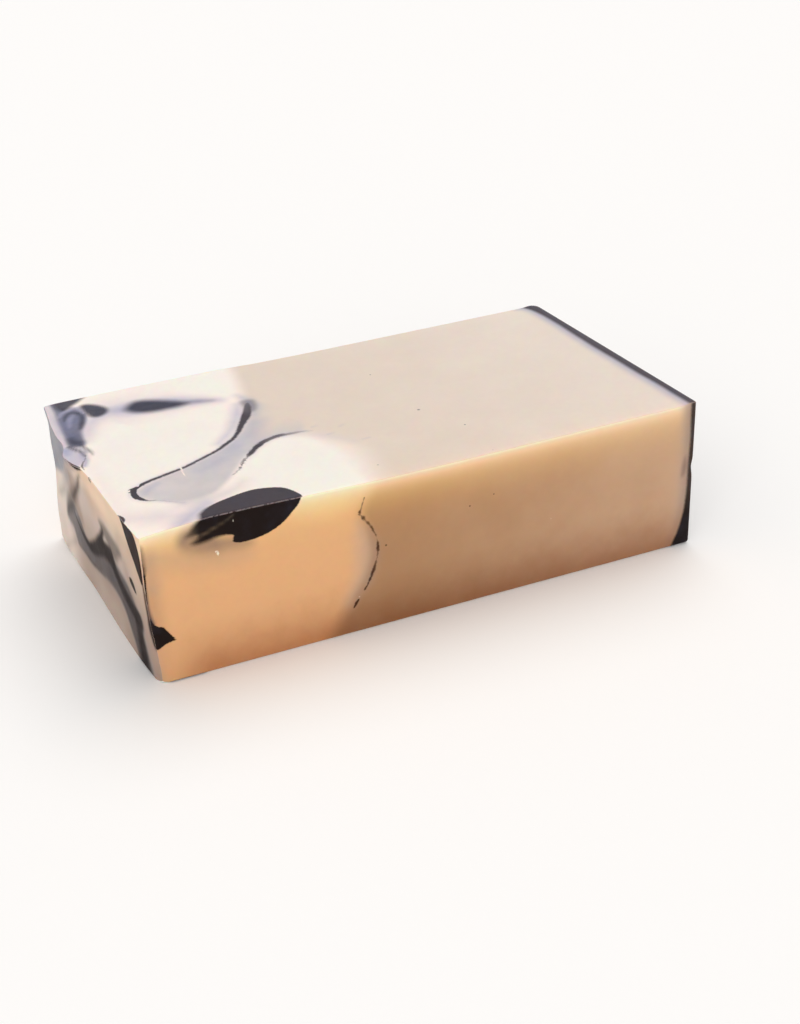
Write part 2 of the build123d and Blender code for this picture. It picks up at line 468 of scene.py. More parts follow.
FRONT_BLOB = (
    (-43, 11), (-42.6, 10.2), (-42, 9.6), (-41.3, 9.3), (-40.7, 8.4), (-40.1, 7.5), (-39.6, 6.9),
    (-40.5, 6.7), (-41.3, 6.5), (-42, 6.1), (-42.6, 6), (-43, 7.2),
)
EDGE_LINE_FRONT = (
    (-43.3, 17.8, 0.08), (-43.15, 15.8, 0.16), (-43.1, 13.4, 0.16), (-43, 11.8, 0.2), (-42.8, 10.2, 0.35),
)
TAN_EDGE_FRONT = (
    (-7.6, 28), (-9.4, 22.6), (-11, 19.6), (-10.4, 16.4), (-9.9, 13), (-10.8, 9.6), (-12.6, 6.4), (-14.4, 4),
    (-15.8, 2), (-17.4, -0.4), (-22, -6),
)
FRONT_CHIPS = (
    ((-32.75, 19.3, 0.14), (-32.55, 18.8, 0.18), (-32.25, 18.1, 0.04)),
    ((20, 10.9, 0.06), (20.3, 10.7, 0.1), (20.5, 10.6, 0.04)),
    ((-11.7, 6.2, 0.05), (-11.9, 5.9, 0.12), (-12, 5.7, 0.05)),
    ((-29.8, 23.5, 0), (-29.9, 23.1, 0.05), (-29.95, 22.7, 0)),
)
DARK_EDGE_FRONT = (
    (44.8, 28), (44.85, 22), (44.95, 17.5), (44.8, 13.7), (44.75, 9.7), (44.3, 5.9), (43.5, 2.8), (42.3, 0.2),
    (41.9, -1.5),
)
DARK_EDGE_TOP = (
    (41, 29), (42.2, 25.8), (43.5, 24.2), (44.2, 20.6), (44.4, 14.6), (44.3, 10.1), (44.2, 3.1), (44.3, -3.7),
    (44.35, -10.5), (44.6, -16.8), (44.6, -21.8), (44.7, -29),
)

# The poured end: y to the back, z up
END_BODY = (
    (7.6, 13.4), (11.6, 13), (15.4, 11), (17.8, 8.6), (17.2, 7.2), (14, 7.2), (12, 5.4), (8, 5.6), (4, 5.6),
    (0, 6.4), (-4, 7.2), (-8, 7.7), (-11.6, 7.4), (-14, 6), (-15.5, 4), (-17, 2), (-18.6, -2), (-24, -2),
    (-22.4, 3), (-21.6, 6), (-22.2, 9), (-20, 11), (-17.6, 12.6), (-14.6, 13.2), (-11.6, 13.4), (-8, 12.4),
    (-4, 11.4), (0, 10.4), (4, 9.8),
)
END_UPPER = (
    (1, 22, 0.2), (2.8, 19.8, 0.6), (5.2, 17.6, 0.9), (8.4, 15.4, 1.3), (11, 13.6, 1.5), (14.2, 11.6, 1.5),
    (16.8, 9.6, 0.9), (18.6, 7.4, 0.3),
)
END_UPPER_CORE = ((1, 22, 0.1), (2.8, 19.7, 0.3), (4.8, 18, 0.4), (6.8, 16.4, 0.3), (9.6, 14.7, 0.1))
END_CORE = (
    (11, 11.6), (8, 10.6), (4, 10), (1.5, 10.6), (-1.5, 12.4), (-4, 14.4), (-6.6, 16.8), (-7.4, 16.2),
    (-6.8, 14.9), (-8.6, 15), (-10.6, 15.3), (-11.8, 13.8), (-12.8, 12.4), (-16, 11.2), (-19.5, 10.4),
    (-22, 9.8), (-21.8, 7.4), (-19, 7.6), (-15.5, 8.4), (-12, 9.9), (-9.5, 11.4), (-6.5, 11.5), (-3, 10.2),
    (0, 8.9), (4, 8.4), (8, 9.4),
)
END_HEART = (
    (1.6, 10.2, 0.3), (-2, 12, 0.6), (-4.6, 13.6, 0.8), (-7, 13.4, 0.9), (-9.6, 13.8, 0.9), (-11, 13, 0.6),
)
END_LOWER = (
    (-17, 10.2, 0.6), (-19.4, 8.4, 1.1), (-20, 6, 1.3), (-20.2, 3.6, 1.6), (-20.5, 1, 1.7), (-21, -1.6, 1.7),
)
END_LOWER_LINE = ((-19.6, 9.8, 0.4), (-20.9, 9, 0.6), (-21.1, 7.4, 0.4), (-20.8, 5.6, 0.2))
END_SMEAR = (
    (-5.4, 17.4), (-8, 18.2), (-11, 18), (-15, 17.7), (-16.2, 16.7), (-14.4, 15.4), (-12.4, 14), (-10, 15),
    (-7.4, 16),
)
END_UNDERLINE = ((12, 5.3, 0.1), (8, 5.7, 0.25), (4, 5.9, 0.3), (0, 6.6, 0.25), (-4, 7.3, 0.15))
END_STREAK = (
    (-18.3, 23.9), (-20, 24.4), (-22, 24.2), (-23.6, 23.4), (-24.8, 21.8), (-25.4, 20), (-25.6, 18.2),
    (-25.4, 16.6), (-24.6, 16.4), (-23.6, 17.4), (-22.6, 18.6), (-21.2, 20), (-19.9, 21.7), (-19, 23),
)
END_EDGE_LINE = (
    (-25.2, 17.4, 0.3), (-25.6, 15.6, 0.5), (-25.8, 13.6, 0.55), (-26, 11.6, 0.6), (-26, 9.6, 1),
    (-26.4, 7.6, 0.8),
)
END_DASH = ((-18.9, 14.6), (-20, 15.1), (-21, 14.6), (-21.7, 13.6), (-21.4, 13.1), (-20.4, 13.5), (-19.4, 14))
# the poured end's back upper facet: grey of the vein, and painted shade where the facet turns away from the
# light
END_GREY_SHADED_FACET = (
    (27.5, 27), (12, 27), (6.6, 24.4), (6.4, 22.6), (9, 20.9), (13, 18), (17, 15.9), (20.6, 14.6), (24, 13.6),
    (27.5, 13.4),
)
END_FACET_STREAK = ((25, 14.6, 0.3), (21, 16.4, 0.6), (17, 18.4, 0.7), (13, 20.6, 0.7), (9, 22.8, 0.4))
END_LILAC = ((3.4, 16.6, 0.4), (5.6, 14.6, 0.9), (8, 12.8, 0.8), (9.6, 11.8, 0.3))
END_LOBE_SHADE = ((9, 22.4, 0.5), (5.6, 22, 0.6), (2.6, 22.6, 0.5), (0.2, 23.6, 0.3))
# painted shadow under the lobe that hangs over the poured end
END_LOBE_SHADOW = (
    (6.4, 22, 0.06, 0.6), (4.6, 22.3, 0.2), (2.4, 22.8, 0.26), (0.4, 23.5, 0.24), (-1.8, 24.4, 0.16),
    (-3, 25, 0.05),
)
END_SPECK = ((-3.5, 23.6, 0.1, 0.8), (-4.2, 23.5, 0.26, 0.8), (-4.8, 23.5, 0.1, 0.8))
END_BEIGE_BANDS = (
    ((24, -1, 0.5), (19, 2, 0.7), (14, 4.8, 0.5)),
    ((25, 8.6, 0.3), (21, 10.6, 0.5), (17.4, 12.6, 0.3)),
)
END_PALE_BAND = ((22, 10, 0.8), (17, 13, 1.2), (12, 17, 1.2), (8, 20, 0.8))
END_WARM = ((6, 26), (1, 21), (-3, 17.4), (-12, 18.6), (-18, 16), (-25, 12), (-30, 28))
END_LIT = ((-4, 21, 0.8), (-9, 20.6, 1.4), (-14, 20, 0.8))
END_GREY = ((17, 16, 0.6), (12, 17.6, 1), (8, 19.4, 0.8))
END_BROWN = ((-15, 18.6, 0.4), (-17.4, 15.8, 1), (-19.6, 11.8, 0.8))

# The back, seen from the front side: x to the dark end, z up
BACK_LEAF_FACE = (
    (-43.6, 27), (-36.6, 27), (-35.8, 23.6), (-36.6, 21.4), (-38.8, 19.8), (-41, 19.4), (-42.8, 20.6),
    (-43.8, 23.2),
)
BACK_VEIN = (
    (-13.6, 25, 0.04), (-14.2, 23.2, 0.12), (-15.6, 20.4, 0.2), (-16.4, 17.2, 0.16), (-15.8, 14.2, 0.2),
    (-16.8, 11, 0.24), (-19.4, 8.6, 0.28), (-23, 7.2, 0.22), (-26.6, 7.8, 0.16), (-29.2, 9.6, 0.06),
)
BACK_LENS = (
    (-38.4, 11.4), (-36, 13), (-32.6, 13.4), (-29.4, 12.4), (-27.6, 10.8), (-30.2, 10), (-33.6, 9.8),
    (-36.6, 10.2),
)
TAN_EDGE_BACK = (
    (-11.8, 27), (-13, 21.6), (-15, 17), (-14.4, 13), (-16.6, 9), (-21, 5), (-25.6, 2), (-29, -2),
)
DARK_EDGE_BACK = ((42.2, 27), (42.6, 22), (43.2, 17), (43.6, 12), (43.9, 7), (43.6, 3), (43, -2))

# The bottom, as seen from above through the bar: x to the dark end, y to the back
BOTTOM_VEIN = (
    (-17, 27, 0.16), (-18.2, 22, 0.26), (-21.4, 17, 0.36), (-24.6, 12.6, 0.3), (-28.8, 10.6, 0.24),
    (-33.2, 9.6, 0.26), (-37.2, 7.6, 0.34), (-39.2, 4.4, 0.44), (-38.4, 1.2, 0.32), (-35.4, -0.6, 0.2),
    (-31.4, -0.8, 0.16), (-27, -2.2, 0.16), (-22.8, -5.4, 0.2), (-20.2, -9.8, 0.18), (-19.6, -14.6, 0.14),
    (-21.2, -19.4, 0.1), (-22.4, -23.6, 0.02),
)
BOTTOM_LENS = (
    (-35.4, -12.4), (-32.4, -10.2), (-28.8, -10), (-25.8, -12), (-24.6, -15), (-27.6, -16.4), (-31.6, -16.2),
    (-34.4, -14.6),
)
BOTTOM_STREAK = (
    (-48, -16), (-42.6, -17.2), (-39, -19.6), (-36.4, -22.4), (-36, -28), (-40.4, -28), (-42, -22.8),
    (-48, -19.6),
)
TAN_EDGE_BOTTOM = (
    (-29, 28), (-26.4, 21), (-24, 15.4), (-22, 9), (-18.4, 3), (-16.4, -3.6), (-15.2, -10), (-15.4, -16),
    (-16.4, -21.6), (-18.6, -28),
)
DARK_EDGE_BOTTOM = ((43, 28), (43.2, 18), (42.6, 9), (42.9, 1), (42.4, -8), (42.7, -17), (42.3, -28))

# Tiny dark specks: x, y, z and radius
SPECKS = (
    (7.5, -6, 24.2, 0.2), (11.2, -14.6, 24.2, 0.13), (10.7, -24.6, 24.1, 0.12), (-6.1, -20.9, 24, 0.16),
    (6.7, 10.8, 24.2, 0.12), (-7.3, -25.4, 13.4, 0.14), (6.4, -25.4, 16.4, 0.12), (10.4, -25.4, 17.4, 0.1),
    (30.6, 25.4, 12, 0.14), (-2, 25.4, 8, 0.12),
)


TOP_RISE = 1.0 / 91.0  # of the plain top, per millimetre towards the dark end
TOP_LEVEL = 23.62 + 45.0 / 91.0  # the plain top's height at the middle


def traced(moved, x_end):
    """Where the camera's line through each point meets the plain top, front and poured end."""
    ray = moved - CAMERA
    x, y, z = moved.T
    front = moved + ray * ((YL - y) / ray[:, 1])[:, None]
    top = moved + ray * ((TOP_LEVEL + TOP_RISE * x - z) / (ray[:, 2] - TOP_RISE * ray[:, 0]))[:, None]
    end = moved - ray * ((x - x_end) / ray[:, 0])[:, None]
    return top, front, end


def paint_dark_layer(p, edge, wobble, shade=0.5):
    """The dark layer past its edge, and the soft violet shade in front of it."""
    past = beyond(p.uv, edge) + 0.1 * wobble
    p.ink[p.at] = np.minimum(p.ink[p.at], -past)
    p.add("haze", shade * ramp(past, -2.6, 0) ** 1.6)


def paint_top(p, wobble):
    u, v = p.uv.T
    dark_end = ramp(u, 38, 42)
    tan = beyond(p.uv, TAN_EDGE_TOP) + 0.4 * wobble
    wide = ramp(u, -15, -8) * (1 - ramp(v, -4, 0))
    p.tan[p.at] = ramp(tan, -1.4 - 5 * wide, 2)
    shore = p.blurred(POOL, 0.7, 1) * (1 - 0.3 * ramp(tan, -2, 1)) * (1 - ramp(tan, 0.5, 6.5))
    p.pool[p.at] = np.maximum(shore, 0)
    p.cut("pool", (POOL_END, 1.4, 0.2), (POOL_SHORE, 1.4, 0.45))
    p.add("pool", (POOL_FADE, 2.2, 0.6))
    smudges = [((x - r, y, 0.1), (x + r, y + 0.2, 0.1)) for x, y, r in SMUDGES]
    p.add(
        "haze", (POOL_TIP, 1.1, 0.4), p.blurred(POOL_NECK, 2.4, 0.4) * p.blurred(POOL, 0.6, 1),
        (POOL_END, 1.4, 0.12), (COOL_LEFT, 2.4, 0.1), (LOBE_SHADE, 1.4, 0.12), (BRUSH_HAZE, 1.2, 0.45),
        (BRUSH_BACK, 1.6, 0.6), *((smudge, 0.4, 0.3) for smudge in smudges), (MAIN_VEIN, 0.9, 0.45),
        (SECOND_VEIN[1:], 1, 0.45), (BACK_LEAF_HALO, 2, 0.62), (COOL_BACK, 4, 0.24),
        (COOL_CORNER, 3, 0.3), (COOL_HALO, 1.8, 0.6), (WHORL, 0.8, 0.9), (LOBE, 0.5, 0.6),
        (LOBE_RIGHT, 0.7, 0.95), (RIM_LAVENDER, 0.8, 0.5), (WHORL_GAP, 0.6, 0.7), (WHORL_FALL, 1.8, 0.36),
    )
    p.add(
        "smoke", (BACK_LEAF_TAIL, 1.2, 0.5), (BRUSH_TIP, 0.6, 0.5), (BACK_LEAF, 1.1, 1),
        (SMALL_LEAF, 0.6, 0.97), (CORNER_PATCH, 0.6, 0.96), (WHORL, 0.45, 0.62 + 0.16 * wobble),
        (WHORL_FOOT, 0.9, 0.86), (WHORL_RIGHT, 0.45, 0.8), (WHORL_LEFT, 0.35, 0.7),
    )
    p.cut("smoke", (WHORL_INNER, 0.45, 0.5), (WHORL_STREAK, 0.4, 0.7))
    p.add("smoke", (WHORL_LEG_LEFT, 0.4, 0.85), (WHORL_LEG_RIGHT, 0.4, 0.75))
    p.line(MAIN_VEIN, 0.2)
    p.line(TURN_SPUR)
    p.line(SECOND_VEIN, 0.35)
    p.line(SECOND_VEIN_DOTS, 1)
    p.line(LOBE_LINE_LEFT)
    p.line(LOBE_LINE_RIGHT[::-1], 0.2)
    p.line(TOP_EDGE_DASH)
    p.shapes(LEAF_TOP, TOP_EDGE_BLOB)
    for chip in TOP_CHIPS:
        p.line(chip, chip=True)
    near_leaf = ramp(-u, 30.5, 33.5) * (1 - ramp(v, -19, -17)) * (1 - ramp(-u, 37, 39))
    on_veins = ramp(v, -19, -16) * (1 - ramp(u, -12, -8))
    rim = 0.1 + (0.4 + 0.6 * ramp(-u, 33.5, 36)) * near_leaf
    rim += 0.14 * on_veins * (1 - ramp(-u, 36, 39))
    rim += 0.4 * dark_end
    p.soft[p.at] = np.maximum(p.soft[p.at], rim)
    # painted glow just inside the top's front edge
    p.bright[p.at] = np.exp((YL - v) / 3)
    p.dense[p.at] *= 1 - 0.05 * dark_end
    paint_dark_layer(p, DARK_EDGE_TOP, wobble, 0.6)


def paint_front(p, wobble):
    u, v = p.uv.T
    dark_end = ramp(u, 38, 42)
    p.tan[p.at] = ramp(beyond(p.uv, TAN_EDGE_FRONT) + 0.4 * wobble, -1.6, 1.8)
    p.add(
        "pool", (THIN_LINE_HAZE, 1.8, 0.5), (DARK_EDGE_SMEAR, 0.5, 0.4), (LEAF_SHADE, 2.4, 0.24),
        (CORNER_GREY, 1.8, 0.34),
    )
    p.add(
        "haze", (THIN_LINE_SHADE, 1, 0.36), (DARK_EDGE_SMEAR, 0.5, 0.9), (LEAF_SMEAR, 1.2, 0.66),
        (LEAF_TIP, 0.8, 0.4), (LEAF_SHADE, 2.4, 0.16), (CORNER_SHADE, 1.6, 0.34),
    )
    p.add("smoke", (EDGE_LINE_FRONT, 0.3, 0.9))
    # painted glow below the front's top edge
    p.bright[p.at] = p.blurred(FRONT_GLOW, 2.6, 0.9)
    p.line(THIN_LINE, 0.28)
    p.line(THIN_LINE_END, 0.1)
    p.shapes(CORNER_WRAP, LEAF_FRONT, FRONT_BLOB)
    thin = p.blurred(LEAF_STREAK, 0.3, 0.08 + 0.16 * ramp(-u, 31, 35.5))
    thin += 0.35 * ramp(-u, 34.6, 36.8) * ramp(v, 19, 20)
    thin += 0.1 * dark_end * ramp(v, 4, 12)
    p.dense[p.at] = np.minimum(p.dense[p.at], 1 - thin)
    for chip in FRONT_CHIPS:
        p.line(chip, chip=True)
    near_leaf = ramp(-u, 29.5, 34) * ramp(v, 17.5, 19)
    near_line = ramp(u, -15, -13) * (1 - ramp(u, -7, -5))
    rim = 0.1 + 0.4 * near_leaf + 0.04 * near_line + 0.22 * dark_end
    p.soft[p.at] = np.maximum(p.soft[p.at], rim)
    paint_dark_layer(p, DARK_EDGE_FRONT, wobble, 0.42)
    p.add("pool", 0.8 * ramp(beyond(p.uv, DARK_EDGE_FRONT), -3.4, 0.2) ** 1.4 * ramp(v, 2, 9))


def paint_end(p, wobble):
    y, z = p.uv.T
    p.film[p.at] = 1
    # painted light and shade over the poured end: lighter towards the back and the top edge, where the
    # surface turns to the light, with a painted lit patch, changes near the bottom, and some soft darker
    # bands and strips taken out
    light = 0.04 + 0.75 * ramp(y, 7, 21) + 0.43 * ramp(z, 8, 19) * (1 - ramp(y, 2, 9))
    light += 0.35 * ramp(z, 19.5, 22.5)
    light += 0.1 * ramp(y, 1, 6) * ramp(z, 12, 18) + 0.12 * wobble + p.blurred(END_LIT, 1.8, 0.24)
    foot = 0.1 * ramp(-z, -7, -3) * (ramp(y, -14, -8) - 2 * ramp(y, 16, 23))
    light += foot - 0.2 * ramp(y, 3, 5) * (1 - ramp(y, 7, 9)) * ramp(z, 11, 13)
    light -= p.blurred(END_BROWN, 1.6, 0.16)
    for band in END_BEIGE_BANDS:
        light -= p.blurred(band, 0.9, 0.25)
    p.bright[p.at] = np.clip(light, 0, 1)
    p.tan[p.at] = p.blurred(END_WARM, 2, 1)
    # the back upper facet gets the vein's grey together with painted shade
    p.add(
        "haze", (END_GREY_SHADED_FACET, 0.8, 1), (END_PALE_BAND, 1.2, 0.3), (END_GREY, 1.6, 0.35),
        (END_LOBE_SHADE, 0.9, 0.5), (END_BODY, 1.4, 0.6),
    )
    body = 0.66 + 0.1 * wobble - 0.1 * ramp(y, 4, 12) + 0.1 * ramp(-y, 3, 9)
    p.add(
        "smoke", (END_FACET_STREAK, 1, 0.14), (END_UPPER, 1, 0.6), (END_UPPER_CORE, 0.5, 0.6),
        (END_BODY, 0.7, body), (END_SMEAR, 0.9, 0.64), (END_CORE, 0.6, 0.98), (END_HEART, 0.9, 1),
        (END_LOWER, 0.9, 0.92), (END_LOWER_LINE, 0.5, 0.85), (END_UNDERLINE, 0.4, 0.5),
    )
    p.cut("smoke", (END_LILAC, 0.8, 0.4))
    p.add("smoke", (END_EDGE_LINE, 0.5, 0.9))
    # painted shadow: a dark line under the lobe that hangs over the poured end
    p.line(END_LOBE_SHADOW)
    p.line(END_SPECK, 0.2)
    p.shapes(END_STREAK, END_DASH)
    p.soft[p.at] = 0.2


def paint_back(p, wobble):
    p.tan[p.at] = ramp(beyond(p.uv, TAN_EDGE_BACK) + 0.5 * wobble, -1.8, 2)
    p.add("haze", (BACK_LENS, 1.6, 0.5), (BACK_LEAF_FACE, 1.4, 0.5))
    p.soft[p.at] = 0.28
    p.line(BACK_VEIN, 0.4)
    p.shapes(BACK_LEAF_FACE, BACK_LENS)
    paint_dark_layer(p, DARK_EDGE_BACK, wobble)


def paint_bottom(p, wobble):
    p.tan[p.at] = ramp(beyond(p.uv, TAN_EDGE_BOTTOM) + 0.6 * wobble, -1.8, 2)
    p.add("haze", (BOTTOM_LENS, 1.6, 0.5), (BOTTOM_VEIN, 0.9, 0.4))
    p.soft[p.at] = 0.2
    p.line(BOTTOM_VEIN, 0.3)
    p.shapes(BOTTOM_LENS, BOTTOM_STREAK)
    paint_dark_layer(p, DARK_EDGE_BOTTOM, wobble)


def paint(points, moved, x_end):
    """All the fields, for the points as moved by the relief."""
    p = Paint(len(points))
    wobble = smooth_noise(points, 7.0, 3)
    top_uv, front_uv, end_uv = traced(moved, x_end)
    on_top = K == LAST_K
    on_front = (J == 0) & ~on_top
    on_back = (J == LAST_J) & ~on_top
    on_end = (I == 0) & ~on_top & ~on_front
    for mask, uv, painter in (
        (on_top, top_uv[:, :2], paint_top),
        (on_front, front_uv[:, [0, 2]], paint_front),
        (on_back, moved[:, [0, 2]], paint_back),
        (K == 0, moved[:, :2], paint_bottom),
        (on_end, end_uv[:, 1:], paint_end),
    ):
        at = np.nonzero(mask)[0]
        p.face(at, uv[at])
        painter(p, wobble[at])
    p.ink[I == LAST_I] = -3.0  # the dark end's own face is dark all over
    p.dense[I == LAST_I] = 1.0
    p.ink = np.clip(p.ink, -3.0, 3.0)
    p.wall[on_front | on_back] = 1.0
    p.wall[on_top & ((J == 0) | (J == LAST_J))] = 0.3
    top_z = np.zeros((LAST_I + 1, LAST_J + 1))
    top_z[I[on_top], J[on_top]] = moved[on_top, 2]
    sides = on_front | on_back | on_end
    p.depth[sides] = np.maximum(top_z[I, J] - moved[:, 2], 0)[sides]
    return p


# ---- relief

# The top cut's wave: x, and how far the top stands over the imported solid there
BOW_FRONT = (
    (-45.5, 0), (-44, 0.05), (-39, 0.5), (-33, 0.8), (-26, 0.68), (-19.4, 0.44), (-8, 0.14), (4, 0),
)
BOW_BACK = ((-45.5, 0.25), (-42, 0.38), (-30, 0.44), (-15, 0.38), (-8, 0.1), (2, 0))
GRAIN, WIRE_DRAG = 0.03, 0.012  # unevenness of the whole surface, and of the two cuts
LUMPS, FINE_LUMPS, GROOVE = 0.16, 0.03, 0.16  # on the poured end
PROUD_OUT, PROUD_UP = 0.36, 0.22  # the dark end's layer
LEAN = 0.42  # how far the poured end falls away towards the back
LOBE_HANG, FOLD = 0.7, 0.3  # the lobe over the poured end, and the fold under it
NICK_IN, NICK_BACK = 0.14, 0.2


def relief(points, x_end):
    """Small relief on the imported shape, in millimetres: waves of the cut, swells, folds and dents."""
    normal = np.zeros_like(points)
    faces = points[QUADS]
    cross = np.cross(faces[:, 2] - faces[:, 0], faces[:, 3] - faces[:, 1])
    for corner in range(4):
        np.add.at(normal, QUADS[:, corner], cross)
    normal /= np.linalg.norm(normal, axis=1)[:, None]
    x, y, z = points.T
    hold = ramp(EDGE_GAP, 0, 1.5)
    out = GRAIN * smooth_noise(points, 9, 21) * hold
    cut = (K == LAST_K) | (K == 0)
    out += np.where(cut, WIRE_DRAG * smooth_noise(points * [0.25, 2.2, 1], 4, 5), 0) * hold
    face = points * [0, 1, 1]
    lumps = LUMPS * smooth_noise(face, 9, 31) + FINE_LUMPS * smooth_noise(face, 2.6, 32)
    groove = nearest_on(points[:, [1, 2]], smooth_curve(END_HEART + END_LOWER[1:])[:, :2])[0]
    lumps -= GROOVE * np.exp(-(groove / 2) ** 2)
    out += np.where(I == 0, lumps * ramp(EDGE_GAP, 0, 2.5), 0)
    out = np.where(K == 0, -np.abs(out), out)  # nothing stands out of the bottom, which the bar lies on
    moved = points + normal * out[:, None]

    # the wire's wave in the top cut, high over the leaf
    front = np.interp(x, *zip(*BOW_FRONT))
    back = np.interp(x, *zip(*BOW_BACK))
    share = (y - YL) / (YH - YL)
    moved[:, 2] += (front * (1 - share) + back * share) * (ZS[K] / ZS[-1]) ** 2

    # the dark end's layer stands a little proud
    moved[:, 0] += PROUD_OUT * ramp(x, 38, 45)
    moved[:, 2] += PROUD_UP * ramp(x, 42.6, 44.6) * (ZS[K] / ZS[-1]) ** 4

    # the poured end falls away towards the back, with a shoulder beside the lobe and a swell low down
    lean = LEAN * ramp(y, 8, 20) * ramp(z, 4, 14) * (1 - 0.5 * ramp(z, 21, 23.5))
    moved[:, 0] += lean * np.exp(-XS[I] / 6)
    shoulder = 0.4 * np.exp(-(((y - 9.8) / 2.2) ** 2)) - 0.2 * np.exp(-(((y - 17.5) / 3.5) ** 2))
    moved[:, 0] += shoulder * ramp(z, 17, 22) * np.exp(-XS[I] / 4)
    swell = 0.55 * (1 - ramp(z, 4, 15)) + 0.15 * (1 - ramp(z, 17, 21))
    moved[:, 0] -= swell * ramp(y, 14, 23) * np.exp(-XS[I] / 6)

    # the lobe that hangs over the poured end, and the fold under it
    lobe = np.exp(-((y - 3.8) / 3) ** 4) * ramp(z, 21.4, 22.9) * ramp(-x, 42.2, 44.2)
    moved[:, 0] -= LOBE_HANG * lobe
    fold = np.exp(-((y - 3.8) / 3.8) ** 4) * np.exp(-((z - 20.9) / 0.8) ** 2) * (I == 0)
    moved[:, 0] += FOLD * fold

    # the poured end's upright front edge, more rounded lower down
    radius = 1 + 0.9 * (1 - ramp(z, 2, 12)) + 0.6 * (1 - ramp(z, 0, 4))
    a = moved[:, 1] - YL
    b = moved[:, 0] - x_end
    reach = np.hypot(np.maximum(radius - a, 0), np.maximum(radius - b, 0))
    outside = (a < radius) & (b < radius) & (reach > radius) & (EDGE_GAP < 3)
    pull = np.where(outside, 1 - radius / np.maximum(reach, 1e-9), 0)
    moved[:, 1] += pull * (radius - a)
    moved[:, 0] += pull * (radius - b)

    # a nick on the dark end's upright front edge
    nick = np.exp(-(((x - 45.2) / 0.7) ** 2 + ((y + 25.4) / 0.7) ** 2 + ((z - 13.6) / 1.1) ** 2))
    moved[:, 0] -= NICK_IN * nick
    moved[:, 1] += NICK_BACK * nick
    return moved


# ---- mesh

def soap_mesh():
    points, x_end = bar_points()
    moved = relief(points, x_end)
    p = paint(points, moved, x_end)
    mesh = bpy.data.meshes.new("soap_bar_marbled")
    mesh.from_pydata((moved * MM).tolist(), [], QUADS.tolist())
    mesh.update()
    mesh.shade_smooth()
    values = {name: getattr(p, name) for name in FIELDS}
    values["edge"] = EDGE_GAP.clip(0, 1)
    for name, value in values.items():
        attribute = mesh.attributes.new(name, "FLOAT", "POINT")
        attribute.data.foreach_set("value", value.astype(np.float32))
    add_unwrap(mesh)
    return mesh


def add_unwrap(mesh):
    """Lays the six faces side by side in one square. The bottom is laid smaller."""
    layer = mesh.uv_layers.new(name="OFBake")
    gap = 1.5
    lx, ly, lz = XS[-1], YS[-1], ZS[-1]
    size = 2 * lz + 1.6 * ly + 5 * gap
    faces = (  # its points, their u and v, the left and low side of its place, and its scale
        (K == LAST_K, XS[I], YS[J], gap, gap, 1.0),
        (J == 0, XS[I], ZS[K], gap, 2 * gap + ly, 1.0),
        (J == LAST_J, XS[I], ZS[K], gap, 3 * gap + ly + lz, 1.0),
        (K == 0, XS[I], YS[J], gap, 4 * gap + ly + 2 * lz, 0.6),
        (I == 0, ZS[K], YS[J], 2 * gap + lx, gap, 1.0),
        (I == LAST_I, ZS[K], YS[J], 2 * gap + lx, 2 * gap + ly, 1.0),
    )
    corner = QUADS.reshape(-1)
    uv = np.zeros((len(corner), 2))
    for on, u, v, left, low, scale in faces:
        loops = np.repeat(on[QUADS].all(1), 4)
        uv[loops, 0] = (left + scale * u[corner[loops]]) / size
        uv[loops, 1] = (low + scale * v[corner[loops]]) / size
    layer.data.foreach_set("uv", uv.reshape(-1).astype(np.float32))


# ---- material

class Nodes:
    """Short calls for making and joining shader nodes."""

    def __init__(self, owner):
        owner.use_nodes = True
        self.tree = owner.node_tree
        self.tree.nodes.clear()

    def add(self, kind, inputs=None, **settings):
        node = self.tree.nodes.new(kind)
        for key, value in settings.items():
            setattr(node, key, value)
        for key, value in (inputs or {}).items():
            self.set(node.inputs[key], value)
        return node

    def set(self, socket, value):
        if isinstance(value, bpy.types.NodeSocket):
            self.tree.links.new(value, socket)
        else:
            socket.default_value = value

    def math(self, operation, a, b=0.0, c=0.0, clamp=False):
        node = self.add("ShaderNodeMath", operation=operation, use_clamp=clamp)
        for socket, value in zip(node.inputs, (a, b, c)):
            self.set(socket, value)
        return node.outputs[0]

    plus = partialmethod(math, "ADD")
    minus = partialmethod(math, "SUBTRACT")
    times = partialmethod(math, "MULTIPLY")

    def mix(self, share, a, b, kind="MIX"):
        node = self.add("ShaderNodeMix", data_type="RGBA", blend_type=kind)
        self.set(node.inputs["Factor"], share)
        for socket, value in ((node.inputs[6], a), (node.inputs[7], b)):
            self.set(socket, value if isinstance(value, bpy.types.NodeSocket) else (*value, 1.0))
        return node.outputs[2]

    def field(self, name):
        return self.add("ShaderNodeAttribute", attribute_name=name).outputs["Fac"]

    def noise(self, where, per_mm, detail=3.0):
        inputs = {"Vector": where, "Scale": per_mm / MM, "Detail": detail, "Roughness": 0.55}
        return self.add("ShaderNodeTexNoise", inputs).outputs["Fac"]

    def step(self, value, low, high):
        """Smooth step from 0 at low to 1 at high."""
        inputs = {"Value": value, "From Min": low, "From Max": high}
        node = self.add("ShaderNodeMapRange", inputs, interpolation_type="SMOOTHSTEP")
        return node.outputs["Result"]

    def around(self, value, spread):
        """A 0..1 noise turned into a small change either side of nothing."""
        return self.times(self.minus(value, 0.5), spread)

    def output(self, kind, shader):
        self.add(kind, {"Surface": shader.outputs[0]})


# Colours, by face: _CUT on the top and bottom, _WALL on the front and back, _FILM on the poured end
CREAM_CUT = (0.99, 0.857, 0.785)
TAN_CUT = (0.745, 0.625, 0.53)
TAN_CUT_FAR = (0.785, 0.675, 0.59)
